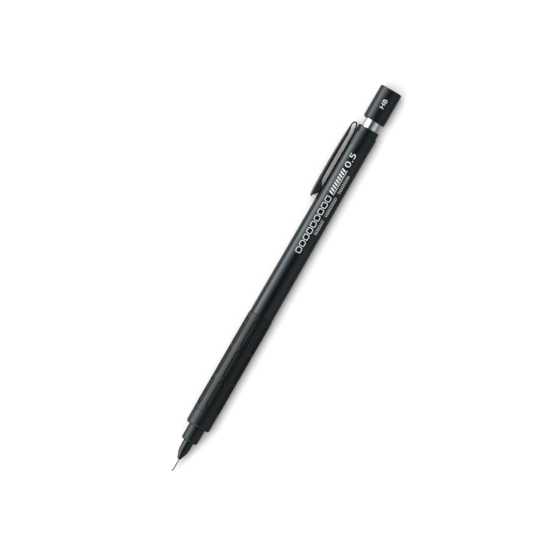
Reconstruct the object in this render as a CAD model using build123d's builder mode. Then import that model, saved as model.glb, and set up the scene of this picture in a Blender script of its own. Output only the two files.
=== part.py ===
"""A drafting mechanical pencil with an open grip sleeve, a sprung clip and a working lead clutch.

Units are millimetres. The pencil lies along +X with its lead at the low end. The origin is on the
axis at the mouth of the guide pipe. The clip stands out towards +Y.
"""

import os

from build123d import *

os.makedirs("parts", exist_ok=True)

# Stations along the axis, from the mouth of the guide pipe to the top of the cap
LEAD_TIP_X = -0.68
CONE_X = 4.0
NECK_X = 10.9
COLLAR_X = 16.6
GRIP_X = 22.1
BARREL_X = 59.9
TAPER_END_X = 111.0
BAND_X = 126.3
TAIL_X = 131.2
TUBE_X = 133.5
CAP_X = 136.5
CAP_TOP_X = 148.8

# Outer radii
LEAD_R = 0.28
PIPE_R = 0.42
NECK_R = 2.97
COLLAR_R = 4.35
GRIP_R = 4.38
BARREL_FRONT_R = 4.24
BARREL_R = 4.08
BAND_R = 4.12
TAIL_R = 3.8
TUBE_R = 2.9
CAP_R = 3.98

# Fits: a close seat between fixed pieces, a running fit, and plain air between pieces
SEAT = 0.01
RUN = 0.05
AIR = 0.1

# Threads and seats inside
PIPE_ROOT_R = 0.46
PIPE_FLANGE_R = 0.7
PIPE_FLANGE_LENGTH = 0.5
PIPE_REAR_X = 7.4
BUSH_R = 0.95
BUSH_X = 9.0
CONE_REAR_X = 12.9
CONE_SEAT_R = 1.55
RING_STOP_X = 16.4
RING_ROOM_R = 1.95
NOSE_THREAD_R = 2.4
NOSE_REAR_X = 21.0
CORE_X = 17.4
CORE_R = 3.0
CORE_THREAD_R = 3.33
CORE_REAR_X = 66.0
CORE_SHOULDER_X = 21.6
CORE_SHOULDER_LENGTH = 1.0
CORE_SHOULDER_R = 1.3
CORE_BORE_R = 2.3

# Clutch: the ring may travel until it meets the stop in the neck
RING_TRAVEL = 0.58
RING_X = RING_STOP_X + RING_TRAVEL + 0.02
RING_LENGTH = 2.4
RING_R = RING_ROOM_R - RUN
JAW_X = 15.9
JAW_LENGTH = 9.1
JAW_COUNT = 3
JAW_ARC = 110.0
JAW_HEAD_R = 1.3
JAW_CONE_FRONT_R = 1.25
JAW_CONE_REAR_R = 1.0
JAW_CONE_END_X = 18.9
JAW_ARM_R = 0.85
JAW_GRIP_R = 0.3
JAW_GRIP_END_X = 18.2
JAW_RELIEF_R = 0.45
STEM_GAP = 0.06
STEM_X = JAW_X + JAW_LENGTH + STEM_GAP
STEM_R = 1.0
STEM_REAR_X = 30.0

# Push train: connector, lead tube, eraser holder, eraser
CONNECTOR_X = 27.2
CONNECTOR_R = 1.35
CONNECTOR_BORE_R = 0.36
CONNECTOR_REAR_X = 38.6
SPRING_FLANGE_X = 34.0
SPRING_FLANGE_LENGTH = 1.2
SPRING_FLANGE_R = 2.1
LEAD_TUBE_BORE_R = 1.5
LEAD_TUBE_R = 1.8
LEAD_TUBE_REAR_X = 126.0
LEAD_LENGTH = 60.0
SPARE_LEAD_COUNT = 3
SPARE_LEAD_X = 42.0
SPARE_LEAD_OFFSET = 0.8
HOLDER_X = 120.0
HOLDER_REAR_X = 140.5
HOLDER_ERASER_R = 2.35
ERASER_SEAT_X = 134.3
ERASER_X = 134.5
ERASER_LENGTH = 9.5

# Return spring
WIRE_R = 0.15
COIL_R = 1.85
COIL_TURNS = 9

# Grip windows: columns round the sleeve and rows along it
WINDOW_COLUMNS = 6
WINDOW_ROW_X = (29.1, 40.9, 52.65)
WINDOW_LENGTH = 10.4
WINDOW_WIDTH = 2.3
SLEEVE_BORE_R = 3.9
RUBBER_BORE_R = 3.02
RUBBER_R = 3.84
PAD_R = 4.26
PAD_CLEAR = 0.12

# Barrel bores and rear seat
BARREL_BORE_R = 3.4
GUIDE_BORE_R = TUBE_R + AIR
GUIDE_X = 124.0
BARREL_SEAT_R = 3.5
BARREL_REAR_X = 133.0

# Cap
CAP_GROOVE_X = CAP_X + 0.5
CAP_GROOVE = 0.15
CAP_ROOF = 1.5
CAP_BORE_R = TUBE_R + RUN

# Clip: sheet channel with a U bend at its root
SHEET = 0.45
CLIP_WIDTH = 3.2
BEND_Y = 6.6
HINGE_X = 131.35
CLIP_TIP_X = 103.9
FLANGE_SHEET = 0.4


def outline_face(outline, plane=Plane.XY):
    """A flat face from a closed outline of (x, distance from the axis) points."""
    with BuildSketch(plane) as flat:
        with BuildLine():
            Polyline(*outline, close=True)
        make_face()
    return flat.sketch


def turn(outline):
    """Revolve an outline round the pencil's axis, inside the part being built."""
    revolve(outline_face(outline), axis=Axis.X)


def pipe_outline(x0, x1, bore_r, outer_r):
    """Outline of a plain tube."""
    return [(x0, bore_r), (x0, outer_r), (x1, outer_r), (x1, bore_r)]


# Lead ----------------------------------------------------------------------------------------
with BuildPart() as lead:
    turn(
        [
            (LEAD_TIP_X, 0),
            (LEAD_TIP_X, 0.2),
            (LEAD_TIP_X + 0.12, LEAD_R),
            (LEAD_TIP_X + LEAD_LENGTH, LEAD_R),
            (LEAD_TIP_X + LEAD_LENGTH, 0),
        ]
    )

with BuildPart() as spare_leads:
    with BuildSketch(Plane.YZ.offset(SPARE_LEAD_X)):
        with PolarLocations(SPARE_LEAD_OFFSET, SPARE_LEAD_COUNT):
            Circle(LEAD_R)
    extrude(amount=LEAD_LENGTH)

# Nose: guide pipe, cone, retaining bush and neck -------------------------------------------------
with BuildPart() as guide_pipe:
    turn(
        [
            (0, LEAD_R + RUN),
            (0, PIPE_R),
            (CONE_X, PIPE_R),
            (CONE_X, PIPE_ROOT_R),
            (PIPE_REAR_X - PIPE_FLANGE_LENGTH, PIPE_ROOT_R),
            (PIPE_REAR_X - PIPE_FLANGE_LENGTH, PIPE_FLANGE_R),
            (PIPE_REAR_X, PIPE_FLANGE_R),
            (PIPE_REAR_X, LEAD_R + RUN),
        ]
    )

with BuildPart() as tip_cone:
    with BuildSketch(Plane.XY) as cone_side:
        with BuildLine():
            ogive = Spline(
                (CONE_X + 0.15, 0.66),
                (5.27, 1.05),
                (6.3, 1.38),
                (7.3, 1.68),
                (8.3, 1.79),
                tangents=[(0.6, 0.3), (1, 0.03)],
            )
            Polyline(
                ogive @ 1,
                (NECK_X, 1.82),
                (NECK_X, CONE_SEAT_R),
                (CONE_REAR_X, CONE_SEAT_R),
                (CONE_REAR_X, BUSH_R + SEAT),
                (PIPE_REAR_X + SEAT, BUSH_R + SEAT),
                (PIPE_REAR_X + SEAT, PIPE_FLANGE_R + SEAT),
                (PIPE_REAR_X - PIPE_FLANGE_LENGTH - SEAT, PIPE_FLANGE_R + SEAT),
                (PIPE_REAR_X - PIPE_FLANGE_LENGTH - SEAT, PIPE_ROOT_R + SEAT),
                (CONE_X, PIPE_ROOT_R + SEAT),
                (CONE_X, 0.56),
                ogive @ 0,
            )
        make_face()
    revolve(cone_side.sketch, axis=Axis.X)

with BuildPart() as lead_retainer:
    turn(pipe_outline(BUSH_X, CONE_REAR_X - AIR, LEAD_R + 0.02, BUSH_R))
    chamfer(lead_retainer.edges().filter_by(GeomType.CIRCLE).group_by(Axis.X)[0][-1], 0.15)

with BuildPart() as nose_neck:
    turn(
        [
            (NECK_X, CONE_SEAT_R + SEAT),
            (NECK_X, NECK_R - 0.45),
            (NECK_X + 0.45, NECK_R),
            (COLLAR_X, NECK_R),
            (COLLAR_X, NOSE_THREAD_R),
            (NOSE_REAR_X - 0.3, NOSE_THREAD_R),
            (NOSE_REAR_X, NOSE_THREAD_R - 0.2),
            (NOSE_REAR_X, RING_ROOM_R),
            (RING_STOP_X, RING_ROOM_R),
            (RING_STOP_X, CONE_SEAT_R + SEAT),
        ]
    )

# Clutch: ring, jaws and stem -----------------------------------------------------------------------
with BuildPart() as clutch_ring:
    turn(
        [
            (RING_X, JAW_CONE_FRONT_R + RUN),
            (RING_X, RING_R - 0.15),
            (RING_X + 0.15, RING_R),
            (RING_X + RING_LENGTH - 0.15, RING_R),
            (RING_X + RING_LENGTH, RING_R - 0.15),
            (RING_X + RING_LENGTH, JAW_CONE_REAR_R + RUN),
            (JAW_CONE_END_X, JAW_CONE_REAR_R + RUN),
        ]
    )

JAW_OUTLINE = [
    (JAW_X, JAW_GRIP_R),
    (JAW_X, JAW_HEAD_R - 0.2),
    (JAW_X + 0.2, JAW_HEAD_R),
    (RING_X - 0.15, JAW_HEAD_R),
    (RING_X - 0.05, JAW_CONE_FRONT_R),
    (RING_X, JAW_CONE_FRONT_R),
    (JAW_CONE_END_X, JAW_CONE_REAR_R),
    (JAW_CONE_END_X + 0.6, JAW_ARM_R),
    (JAW_X + JAW_LENGTH, JAW_ARM_R),
    (JAW_X + JAW_LENGTH, JAW_RELIEF_R),
    (JAW_GRIP_END_X + 0.2, JAW_RELIEF_R),
    (JAW_GRIP_END_X, JAW_GRIP_R),
]


def chuck_jaw(number):
    """One jaw of the chuck: a sector of the split collet, about its own direction."""
    start = number * 360 / JAW_COUNT - JAW_ARC / 2
    with BuildPart() as jaw:
        sector = outline_face(JAW_OUTLINE, Plane.XY.rotated((start, 0, 0)))
        revolve(sector, axis=Axis.X, revolution_arc=JAW_ARC)
    return jaw


jaws = [chuck_jaw(number) for number in range(JAW_COUNT)]

with BuildPart() as chuck_stem:
    turn(pipe_outline(STEM_X, STEM_REAR_X, JAW_RELIEF_R, STEM_R))
    turn(pipe_outline(STEM_X + 0.6, STEM_X + 1.4, JAW_RELIEF_R, STEM_R + 0.2))
    chamfer(chuck_stem.edges().filter_by(GeomType.CIRCLE).group_by(Axis.X)[-1][-1], 0.15)

# Push train ------------------------------------------------------------------------------------------
with BuildPart() as chuck_connector:
    turn(
        [
            (CONNECTOR_X, STEM_R + SEAT),
            (CONNECTOR_X, CONNECTOR_R - 0.1),
            (CONNECTOR_X + 0.1, CONNECTOR_R),
            (SPRING_FLANGE_X, CONNECTOR_R),
            (SPRING_FLANGE_X, SPRING_FLANGE_R),
            (SPRING_FLANGE_X + SPRING_FLANGE_LENGTH, SPRING_FLANGE_R),
            (SPRING_FLANGE_X + SPRING_FLANGE_LENGTH, LEAD_TUBE_BORE_R - SEAT),
            (CONNECTOR_REAR_X, LEAD_TUBE_BORE_R - SEAT),
            (CONNECTOR_REAR_X, LEAD_TUBE_BORE_R - 0.15),
            (CONNECTOR_REAR_X - 3.0, CONNECTOR_BORE_R),
            (STEM_REAR_X + SEAT, CONNECTOR_BORE_R),
            (STEM_REAR_X + SEAT, STEM_R + SEAT),
        ]
    )

with BuildPart() as return_spring:
    spring_front = CORE_SHOULDER_X + CORE_SHOULDER_LENGTH
    spring_length = SPRING_FLANGE_X - spring_front - 2 * WIRE_R - 0.04
    with BuildLine() as wire:
        Helix(
            pitch=spring_length / COIL_TURNS,
            height=spring_length,
            radius=COIL_R,
            center=(spring_front + WIRE_R + 0.02, 0, 0),
            direction=(1, 0, 0),
        )
    with BuildSketch(Plane(origin=wire.line @ 0, z_dir=wire.line % 0)) as wire_section:
        Circle(WIRE_R)
    sweep(wire_section.sketch, path=wire.line, is_frenet=True)

with BuildPart() as lead_tube:
    turn(
        pipe_outline(
            SPRING_FLANGE_X + SPRING_FLANGE_LENGTH + SEAT,
            LEAD_TUBE_REAR_X,
            LEAD_TUBE_BORE_R,
            LEAD_TUBE_R,
        )
    )

with BuildPart() as eraser_holder:
    turn(
        [
            (HOLDER_X, LEAD_TUBE_R + SEAT),
            (HOLDER_X, TUBE_R - 0.3),
            (HOLDER_X + 0.3, TUBE_R),
            (HOLDER_REAR_X - 0.2, TUBE_R),
            (HOLDER_REAR_X, TUBE_R - 0.2),
            (HOLDER_REAR_X, HOLDER_ERASER_R),
            (ERASER_SEAT_X, HOLDER_ERASER_R),
            (ERASER_SEAT_X, LEAD_TUBE_BORE_R),
            (LEAD_TUBE_REAR_X + SEAT, LEAD_TUBE_BORE_R),
            (LEAD_TUBE_REAR_X + SEAT, LEAD_TUBE_R + SEAT),
        ]
    )

with BuildPart() as eraser:
    turn(
        [
            (ERASER_X, 0),
            (ERASER_X, HOLDER_ERASER_R - RUN - 0.1),
            (ERASER_X + 0.1, HOLDER_ERASER_R - RUN),
            (ERASER_X + ERASER_LENGTH, HOLDER_ERASER_R - RUN),
            (ERASER_X + ERASER_LENGTH, 0),
        ]
    )
    fillet(eraser.edges().filter_by(GeomType.CIRCLE).group_by(Axis.X)[-1], 0.6)

with BuildPart() as push_cap:
    turn(
        [
            (CAP_X, CAP_BORE_R),
            (CAP_X, CAP_R - 0.35),
            (CAP_X + 0.35, CAP_R),
            (CAP_GROOVE_X, CAP_R),
            (CAP_GROOVE_X + CAP_GROOVE / 2, CAP_R - CAP_GROOVE),
            (CAP_GROOVE_X + CAP_GROOVE, CAP_R),
            (CAP_TOP_X, CAP_R),
            (CAP_TOP_X, 0),
            (CAP_TOP_X - CAP_ROOF, 0),
            (CAP_TOP_X - CAP_ROOF, CAP_BORE_R),
        ]
    )
    fillet(push_cap.edges().filter_by(GeomType.CIRCLE).group_by(Axis.X)[-1], 0.3)

# Grip ----------------------------------------------------------------------------------------------
with BuildPart() as front_collar:
    turn(
        [
            (COLLAR_X, NOSE_THREAD_R + RUN),
            (COLLAR_X, COLLAR_R - 0.55),
            (COLLAR_X + 0.55, COLLAR_R),
            (GRIP_X - 0.12, COLLAR_R),
            (GRIP_X - 0.02, COLLAR_R - 0.1),
            (GRIP_X - 0.02, CORE_R + SEAT),
            (CORE_X, CORE_R + SEAT),
            (CORE_X, NOSE_THREAD_R + RUN),
        ]
    )

with BuildPart() as grip_core:
    turn(
        [
            (CORE_X + SEAT, NOSE_THREAD_R + SEAT),
            (CORE_X + SEAT, CORE_R),
            (BARREL_X, CORE_R),
            (BARREL_X, CORE_THREAD_R),
            (CORE_REAR_X, CORE_THREAD_R),
            (CORE_REAR_X, CORE_BORE_R),
            (CORE_SHOULDER_X + CORE_SHOULDER_LENGTH, CORE_BORE_R),
            (CORE_SHOULDER_X + CORE_SHOULDER_LENGTH, CORE_SHOULDER_R),
            (CORE_SHOULDER_X, CORE_SHOULDER_R),
            (CORE_SHOULDER_X, NOSE_THREAD_R + SEAT),
        ]
    )


def window_prisms(length, width, reach):
    """Rounded prisms that stand out radially from the axis at every window of the grip."""
    for column in range(WINDOW_COLUMNS):
        outward = Plane.XY.rotated((column * 360 / WINDOW_COLUMNS, 0, 0))
        with BuildSketch(outward) as windows:
            for row_x in WINDOW_ROW_X:
                with Locations((row_x, 0)):
                    SlotOverall(length, width)
        yield extrude(windows.sketch, amount=reach, mode=Mode.PRIVATE)


with BuildPart() as grip_sleeve:
    turn(
        [
            (GRIP_X, SLEEVE_BORE_R),
            (GRIP_X, GRIP_R - 0.1),
            (GRIP_X + 0.1, GRIP_R),
            (BARREL_X - 0.12, GRIP_R),
            (BARREL_X - 0.02, GRIP_R - 0.1),
            (BARREL_X - 0.02, SLEEVE_BORE_R),
        ]
    )
    for prisms in window_prisms(WINDOW_LENGTH, WINDOW_WIDTH, GRIP_R + 1):
        add(prisms, mode=Mode.SUBTRACT)

with BuildPart() as grip_rubber:
    turn(pipe_outline(GRIP_X + AIR, BARREL_X - AIR, RUBBER_BORE_R, PAD_R))
    with BuildPart(mode=Mode.PRIVATE) as pad_room:
        turn(pipe_outline(GRIP_X, BARREL_X, RUBBER_R, PAD_R + 1))
        for prisms in window_prisms(
            WINDOW_LENGTH - 2 * PAD_CLEAR, WINDOW_WIDTH - 2 * PAD_CLEAR, PAD_R + 2
        ):
            add(prisms, mode=Mode.SUBTRACT)
    add(pad_room.part, mode=Mode.SUBTRACT)

# Barrel and tail -------------------------------------------------------------------------------------
with BuildPart() as barrel:
    turn(
        [
            (BARREL_X, CORE_THREAD_R + SEAT),
            (BARREL_X, BARREL_FRONT_R - 0.12),
            (BARREL_X + 0.12, BARREL_FRONT_R),
            (TAPER_END_X, BARREL_R),
            (BAND_X, BARREL_R),
            (BAND_X, BARREL_SEAT_R),
            (BARREL_REAR_X, BARREL_SEAT_R),
            (BARREL_REAR_X, GUIDE_BORE_R),
            (GUIDE_X, GUIDE_BORE_R),
            (GUIDE_X - 0.4, BARREL_BORE_R),
            (CORE_REAR_X + AIR, BARREL_BORE_R),
            (CORE_REAR_X + AIR, CORE_THREAD_R + SEAT),
        ]
    )

with BuildPart() as tail_collar:
    turn(
        [
            (TAIL_X + SEAT, BARREL_SEAT_R + SEAT),
            (TAIL_X + SEAT, TAIL_R),
            (TUBE_X - 0.15, TAIL_R),
            (TUBE_X, TAIL_R - 0.15),
            (TUBE_X, GUIDE_BORE_R),
            (BARREL_REAR_X + SEAT, GUIDE_BORE_R),
            (BARREL_REAR_X + SEAT, BARREL_SEAT_R + SEAT),
        ]
    )

# Clip ----------------------------------------------------------------------------------------------
with BuildPart() as clip_band:
    turn(
        [
            (BAND_X + SEAT, BARREL_SEAT_R + SEAT),
            (BAND_X + SEAT, BAND_R - 0.1),
            (BAND_X + SEAT + 0.1, BAND_R),
            (TAIL_X, BAND_R),
            (TAIL_X, BARREL_SEAT_R + SEAT),
        ]
    )
    with BuildLine() as bend_path:
        root = Line((TAIL_X - 0.4, BAND_R - 0.28), (TAIL_X + 0.25, BAND_R + 0.02))
        rise = Spline(
            root @ 1,
            (TAIL_X + 1.85, BAND_R + 1.2),
            (HINGE_X + 0.02, BEND_Y - SHEET / 2),
            tangents=[(1, 0.2), (-1, 0)],
        )
    with BuildSketch(Plane(origin=bend_path.line @ 0, z_dir=bend_path.line % 0)) as strap:
        Rectangle(SHEET, CLIP_WIDTH)
    sweep(strap.sketch, path=bend_path.line)

with BuildPart() as clip_arm:
    with BuildSketch(Plane.XY) as arm_side:
        with BuildLine():
            top = Spline(
                (HINGE_X - 0.02, BEND_Y),
                (124.0, BEND_Y + 0.18),
                (116.5, BEND_Y + 0.25),
                (109.0, BEND_Y + 0.1),
                (CLIP_TIP_X + 0.5, BEND_Y - 0.18),
            )
            nose = ThreePointArc(top @ 1, (CLIP_TIP_X, 6.0), (CLIP_TIP_X + 0.55, 5.5))
            toe = Spline(nose @ 1, (105.6, 5.0), (107.4, 4.14), (108.6, 4.55), (110.6, 5.66))
            belly = Line(toe @ 1, (130.0, 5.62))
            heel = Spline(
                belly @ 1,
                (130.8, 5.8),
                (HINGE_X - 0.02, BEND_Y - SHEET),
                tangents=[(1, 0), (1, 0.2)],
            )
            Line(heel @ 1, top @ 0)
        make_face()
    extrude(arm_side.sketch, amount=CLIP_WIDTH / 2, both=True)
    with BuildSketch(Plane.XY) as channel:
        with BuildLine():
            Polyline(
                (HINGE_X + 1, BEND_Y - SHEET),
                (124.0, BEND_Y + 0.18 - SHEET),
                (116.5, BEND_Y + 0.25 - SHEET),
                (109.0, BEND_Y + 0.1 - SHEET),
                (104.8, BEND_Y - 0.12 - SHEET),
                (104.8, 3.0),
                (HINGE_X + 1, 3.0),
                close=True,
            )
        make_face()
    extrude(
        channel.sketch, amount=CLIP_WIDTH / 2 - FLANGE_SHEET, both=True, mode=Mode.SUBTRACT
    )

pieces = {
    "lead": lead,
    "spare_leads": spare_leads,
    "guide_pipe": guide_pipe,
    "tip_cone": tip_cone,
    "lead_retainer": lead_retainer,
    "nose_neck": nose_neck,
    "clutch_ring": clutch_ring,
    "chuck_jaw_1": jaws[0],
    "chuck_jaw_2": jaws[1],
    "chuck_jaw_3": jaws[2],
    "chuck_stem": chuck_stem,
    "chuck_connector": chuck_connector,
    "return_spring": return_spring,
    "lead_tube": lead_tube,
    "eraser_holder": eraser_holder,
    "eraser": eraser,
    "push_cap": push_cap,
    "front_collar": front_collar,
    "grip_core": grip_core,
    "grip_sleeve": grip_sleeve,
    "grip_rubber": grip_rubber,
    "barrel": barrel,
    "tail_collar": tail_collar,
    "clip_band": clip_band,
    "clip_arm": clip_arm,
}
for name, piece in pieces.items():
    piece.part.label = name
    export_step(piece.part, f"parts/{name}.step")
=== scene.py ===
"""Looks for a drafting mechanical pencil: turned metal and moulded parts, a windowed grip over rubber,
a sheet clip, printed marks, the clutch inside, and a white table under a side light."""

import math

import bmesh
import bpy
from bpy.props import FloatProperty, FloatVectorProperty, IntProperty, PointerProperty
from mathutils import Matrix, Vector
from mathutils.geometry import interpolate_bezier


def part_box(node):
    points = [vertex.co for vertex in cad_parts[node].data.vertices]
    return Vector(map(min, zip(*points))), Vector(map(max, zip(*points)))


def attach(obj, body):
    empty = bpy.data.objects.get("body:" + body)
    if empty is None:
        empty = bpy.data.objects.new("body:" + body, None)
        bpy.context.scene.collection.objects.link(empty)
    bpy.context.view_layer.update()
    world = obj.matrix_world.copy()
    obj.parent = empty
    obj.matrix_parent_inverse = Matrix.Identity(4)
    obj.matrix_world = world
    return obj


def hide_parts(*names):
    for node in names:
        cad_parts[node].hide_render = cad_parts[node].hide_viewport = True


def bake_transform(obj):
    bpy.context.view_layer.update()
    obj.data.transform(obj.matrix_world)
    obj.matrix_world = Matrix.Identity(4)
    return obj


bl_info = {
    "name": "Mechanical pencil",
    "version": (1, 0, 0),
    "blender": (4, 5, 0),
    "location": "View3D > Sidebar > Pencil",
    "description": "Builds the visible pieces of a drafting pencil round its fixed frame",
    "category": "Object",
}

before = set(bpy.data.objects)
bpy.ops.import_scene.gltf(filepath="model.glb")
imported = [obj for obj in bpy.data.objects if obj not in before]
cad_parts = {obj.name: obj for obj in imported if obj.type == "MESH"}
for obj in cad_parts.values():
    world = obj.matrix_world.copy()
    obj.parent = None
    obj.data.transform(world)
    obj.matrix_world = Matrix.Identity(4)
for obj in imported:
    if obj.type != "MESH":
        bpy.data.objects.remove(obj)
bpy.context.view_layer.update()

MM = 0.001


def span(node):
    """Where a turned node starts and ends along the pencil, and its outer radius, in millimetres."""
    low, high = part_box(node)
    return low.x / MM, high.x / MM, high.z / MM


PIPE_X, PIPE_REAR_X, PIPE_FLANGE_R = span("guide_pipe")
CONE_X, CONE_REAR_X, CONE_R = span("tip_cone")
NECK_X, NECK_REAR_X, NECK_R = span("nose_neck")
COLLAR_X, GRIP_X, COLLAR_R = span("front_collar")
SLEEVE_X, SLEEVE_REAR_X, GRIP_R = span("grip_sleeve")
BARREL_X, BARREL_REAR_X, BARREL_FRONT_R = span("barrel")
BAND_X, _, BAND_R = span("clip_band")
TAIL_X, TUBE_X, TAIL_R = span("tail_collar")
HOLDER_X, HOLDER_REAR_X, TUBE_R = span("eraser_holder")
CAP_X, CAP_TOP_X, CAP_R = span("push_cap")
CLIP_TIP_X, _, CLIP_HALF_WIDTH = span("clip_arm")
LEAD_TIP_X, LEAD_REAR_X, LEAD_R = span("lead")
PIPE_R = 0.42
PIPE_BORE_R = 0.33
PIPE_FLANGE_LENGTH = 0.5
BUSH_BORE_R = 0.3
CORE_R = 3.0
CORE_BORE_R = 2.3
CORE_FRONT_BORE_R = 2.42
CORE_THREAD_ROOT_R = 3.18
CORE_SHOULDER_X = 21.6
CORE_SHOULDER_LENGTH = 1.0
CORE_SHOULDER_R = 1.3
SLEEVE_WALL = 0.48
PAD_TOP_R = 4.26
PAD_FOOT_R = 3.7
BARREL_BORE_R = 3.4
BARREL_SEAT_R = 3.5
GUIDE_BORE_R = 3.0
GUIDE_X = 124.0
SPRING_FLANGE_X = 34.0
SPRING_FLANGE_LENGTH = 1.2
CAP_BORE_R = 2.95
CAP_ROOF = 1.5
CAP_GROOVE = 0.15
SPARE_OFFSET = 0.8
WIRE_R = 0.15
COIL_R = 1.85
COIL_TURNS = 11
BARREL_R = 4.08
TAPER_END_X = 111.0
FLOOR_Z = -GRIP_R


# Sizes and finishes that a user would change ---------------------------------------------------


class PencilSizes(bpy.types.PropertyGroup):
    """Shape details that the frame leaves open."""

    ring_points: IntProperty(
        name="Ring points", description="Points round each turned piece", default=144, min=24
    )
    soft_edge: FloatProperty(
        name="Soft edge",
        description="Width of the rounding on turned edges",
        default=0.07 * MM,
        unit="LENGTH",
        precision=5,
    )
    window_length: FloatProperty(
        name="Window length",
        description="Length of each window in the grip sleeve",
        default=10.4 * MM,
        unit="LENGTH",
    )
    window_width: FloatProperty(
        name="Window width",
        description="Width of each window in the grip sleeve",
        default=2.3 * MM,
        unit="LENGTH",
    )
    pad_gap: FloatProperty(
        name="Pad gap",
        description="Air between a rubber pad and its window",
        default=0.18 * MM,
        unit="LENGTH",
        precision=5,
    )
    print_height: FloatProperty(
        name="Print height",
        description="How far printed ink stands off the surface",
        default=0.012 * MM,
        unit="LENGTH",
        precision=6,
    )


class PencilFinishes(bpy.types.PropertyGroup):
    """Main colours of the pencil."""

    black: FloatVectorProperty(
        name="Black",
        description="Lacquer and moulding colour",
        subtype="COLOR",
        size=3,
        min=0,
        max=1,
        default=(0.0022, 0.0038, 0.0046),
    )
    gloss_tint: FloatVectorProperty(
        name="Gloss tint",
        description="Tint of the highlights on the black",
        subtype="COLOR",
        size=3,
        min=0,
        max=1,
        default=(0.82, 0.94, 1.0),
    )
    ink: FloatVectorProperty(
        name="Ink",
        description="Colour of the printed marks",
        subtype="COLOR",
        size=3,
        min=0,
        max=1,
        default=(0.62, 0.64, 0.66),
    )
    brass: FloatVectorProperty(
        name="Brass",
        description="Colour of the chuck and its ring",
        subtype="COLOR",
        size=3,
        min=0,
        max=1,
        default=(0.72, 0.5, 0.22),
    )


def sizes():
    return bpy.context.scene.pencil_sizes


def finishes():
    return bpy.context.scene.pencil_finishes


# Modelling helpers ------------------------------------------------------------------------------


def deselect():
    """Leave edit mode with nothing selected."""
    if bpy.context.object and bpy.context.object.mode != "OBJECT":
        bpy.ops.object.mode_set(mode="OBJECT")
    bpy.ops.object.select_all(action="DESELECT")


def pick(piece):
    """Select one piece alone and make it active."""
    deselect()
    piece.select_set(True)
    bpy.context.view_layer.objects.active = piece


def place_selected(piece, points):
    """Put the selected vertices of the piece being edited at the given points, in order."""
    shell = bmesh.from_edit_mesh(piece.data)
    chosen = [vertex for vertex in shell.verts if vertex.select]
    for vertex, point in zip(chosen, points):
        vertex.co = point
    bmesh.update_edit_mesh(piece.data)


def skinned(name, loops, ends):
    """Extrude a ring of points from loop to loop. Its ends are left open, filled or joined."""
    deselect()
    bpy.ops.mesh.primitive_circle_add(vertices=len(loops[0]), radius=MM)
    piece = bpy.context.object
    piece.name = name
    piece.data.name = name
    bpy.ops.object.mode_set(mode="EDIT")
    bpy.ops.mesh.select_all(action="SELECT")
    place_selected(piece, loops[0])
    for loop in loops[1:]:
        bpy.ops.mesh.extrude_region_move()
        place_selected(piece, loop)
    bpy.ops.mesh.select_all(action="SELECT")
    bpy.ops.mesh.remove_doubles(threshold=1e-8)
    if ends != "open":
        bpy.ops.mesh.select_all(action="DESELECT")
        bpy.ops.mesh.select_mode(type="EDGE")
        bpy.ops.mesh.select_non_manifold(extend=False, use_wire=False, use_boundary=True)
        if ends == "join":
            bpy.ops.mesh.bridge_edge_loops()
        else:
            bpy.ops.mesh.fill_holes(sides=0)
        bpy.ops.mesh.select_mode(type="VERT")
    bpy.ops.mesh.select_all(action="SELECT")
    bpy.ops.mesh.normals_make_consistent(inside=False)
    bpy.ops.object.mode_set(mode="OBJECT")
    return piece


def ring(x, radius, count):
    """Points of a ring round the pencil's axis, at x and radius in millimetres."""
    turn = 2 * math.pi / count
    return [
        Vector((x, radius * math.sin(k * turn), radius * math.cos(k * turn))) * MM
        for k in range(count)
    ]


def soften(piece, width, segments=3, angle=30):
    """Round the sharp edges of a piece and smooth its faces."""
    pick(piece)
    bevel = piece.modifiers.new("Soft edges", "BEVEL")
    bevel.width = width
    bevel.segments = segments
    bevel.limit_method = "ANGLE"
    bevel.angle_limit = math.radians(angle)
    bpy.ops.object.modifier_apply(modifier=bevel.name)
    bpy.ops.object.shade_smooth_by_angle(angle=math.radians(40))
    weighted = piece.modifiers.new("Even faces", "WEIGHTED_NORMAL")
    weighted.keep_sharp = True
    bpy.ops.object.modifier_apply(modifier=weighted.name)
    return piece


def turned(name, outline, edge=None, count=None):
    """Draw an outline of (x, radius) points and spin it. One whose ends are on the axis is solid."""
    deselect()
    bpy.ops.mesh.primitive_plane_add(size=MM)
    piece = bpy.context.object
    piece.name = name
    piece.data.name = name
    bpy.ops.object.mode_set(mode="EDIT")
    bpy.ops.mesh.select_all(action="SELECT")
    bpy.ops.mesh.merge(type="CENTER")
    bpy.ops.transform.translate(value=(outline[0][0] * MM, 0, outline[0][1] * MM))
    for (x0, r0), (x1, r1) in zip(outline, outline[1:]):
        step = ((x1 - x0) * MM, 0, (r1 - r0) * MM)
        bpy.ops.mesh.extrude_region_move(TRANSFORM_OT_translate={"value": step})
    if outline[0][1] or outline[-1][1]:
        step = ((outline[0][0] - x1) * MM, 0, (outline[0][1] - r1) * MM)
        bpy.ops.mesh.extrude_region_move(TRANSFORM_OT_translate={"value": step})
    bpy.ops.mesh.select_all(action="SELECT")
    bpy.ops.mesh.spin(
        steps=count or sizes().ring_points, angle=2 * math.pi, center=(0, 0, 0), axis=(1, 0, 0)
    )
    bpy.ops.mesh.select_all(action="SELECT")
    bpy.ops.mesh.remove_doubles(threshold=1e-7)
    bpy.ops.mesh.normals_make_consistent(inside=False)
    bpy.ops.object.mode_set(mode="OBJECT")
    return soften(piece, sizes().soft_edge if edge is None else edge)


def copied(piece, move, name="copy"):
    """A copy of a finished piece with a mesh of its own, moved by the given matrix."""
    pick(piece)
    bpy.ops.object.duplicate(linked=False)
    twin = bpy.context.object
    twin.name = twin.data.name = name
    twin.data.transform(move)
    return twin


def along(distance):
    """A move along the pencil, in millimetres."""
    return Matrix.Translation((distance * MM, 0, 0))


def round_axis(number, count):
    """A turn about the pencil's axis to place a piece among so many like it."""
    return Matrix.Rotation(number * 2 * math.pi / count, 4, "X")


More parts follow.
